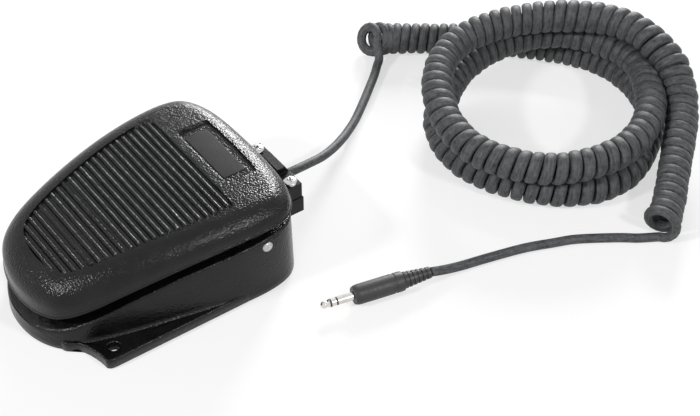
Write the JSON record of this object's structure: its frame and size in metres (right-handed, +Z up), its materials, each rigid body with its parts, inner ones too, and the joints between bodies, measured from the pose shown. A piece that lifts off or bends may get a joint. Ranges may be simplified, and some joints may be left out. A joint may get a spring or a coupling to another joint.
{
  "type": "push-to-talk foot switch",
  "caption": "Foot pedal switch: ribbed cast treadle hinged over a cast base with two mounting ears, and a wound curly cord that ends in a phone plug.",
  "frame": {"origin": "centre of the pedal's bounding box at the floor, cord and plug left out", "axes": "+Z up, +Y towards the heel where the cord leaves, -Y towards the toe, +X to the right seen from the heel"},
  "size_m": [0.185, 0.307, 0.0452],
  "materials": {
    "cast_paint": "wrinkled semi-gloss black paint on cast metal",
    "plate_steel": "zinc-plated sheet steel",
    "screw_steel": "bright plated pan-head screws",
    "pin_steel": "ground steel pin with a bright end",
    "pad_rubber": "matte black rubber",
    "label_plate": "smooth dark plate, left bare",
    "bronze": "sintered bronze",
    "spring_steel": "oiled spring wire",
    "switch_case": "moulded switch case",
    "black_plastic": "fine matte moulded plastic",
    "white_nylon": "smooth nylon",
    "terminal_brass": "stamped brass blades",
    "wire_sleeve": "insulated hook-up wire",
    "cord_jacket": "soft satin black cord jacket",
    "plug_metal": "bright nickel contacts",
    "insulator": "black insulating rings"
  },
  "bodies": {
    "base": {"base_casting": "cast_paint", "bottom_plate": "plate_steel", "bottom_plate_screws": "screw_steel", "rubber_pad": "pad_rubber", "pivot_pin": "pin_steel", "return_spring": "spring_steel", "spring_seat": "plate_steel", "switch_bracket": "plate_steel", "bracket_screws": "screw_steel", "switch_case": "switch_case", "switch_cover": "black_plastic", "switch_terminals": "terminal_brass", "switch_screws": "screw_steel", "switch_wires": "wire_sleeve", "stop_bumper": "pad_rubber", "clamp_lower": "black_plastic", "clamp_upper": "black_plastic", "clamp_screws": "screw_steel", "clamp_mount_screws": "screw_steel", "cord_grommet": "pad_rubber", "cord_inner": "cord_jacket", "cord_lead": "cord_jacket", "cord_coil": "cord_jacket", "cord_tail": "cord_jacket", "plug_boot": "black_plastic", "plug_body": "black_plastic", "plug_sleeve": "plug_metal", "plug_insulators": "insulator", "plug_tip": "plug_metal"},
    "treadle": {"treadle_casting": "cast_paint", "label_plate": "label_plate", "pivot_bushes": "bronze", "actuator_screw": "screw_steel", "actuator_nut": "screw_steel"},
    "plunger": {"switch_plunger": "white_nylon"}
  },
  "joints": [
    {"name": "treadle_hinge", "type": "hinge", "parent": "base", "child": "treadle", "pos_m": [0, 0.0287, 0.0251], "axis": [1, 0, 0], "range_deg": [0, 3.5], "stiffness_Nm_per_rad": 3, "springref_deg": -22.92, "deforming": ["return_spring"]},
    {"name": "plunger_slide", "type": "slide", "parent": "base", "child": "plunger", "axis": [0, 0, -1], "range_m": [0, 0.00176], "stiffness_N_per_m": 150, "springref_m": -0.004}
  ],
  "couplings": [
    {"joint": "plunger_slide", "follows": "treadle_hinge", "m_per_rad": 0.0287}
  ]
}
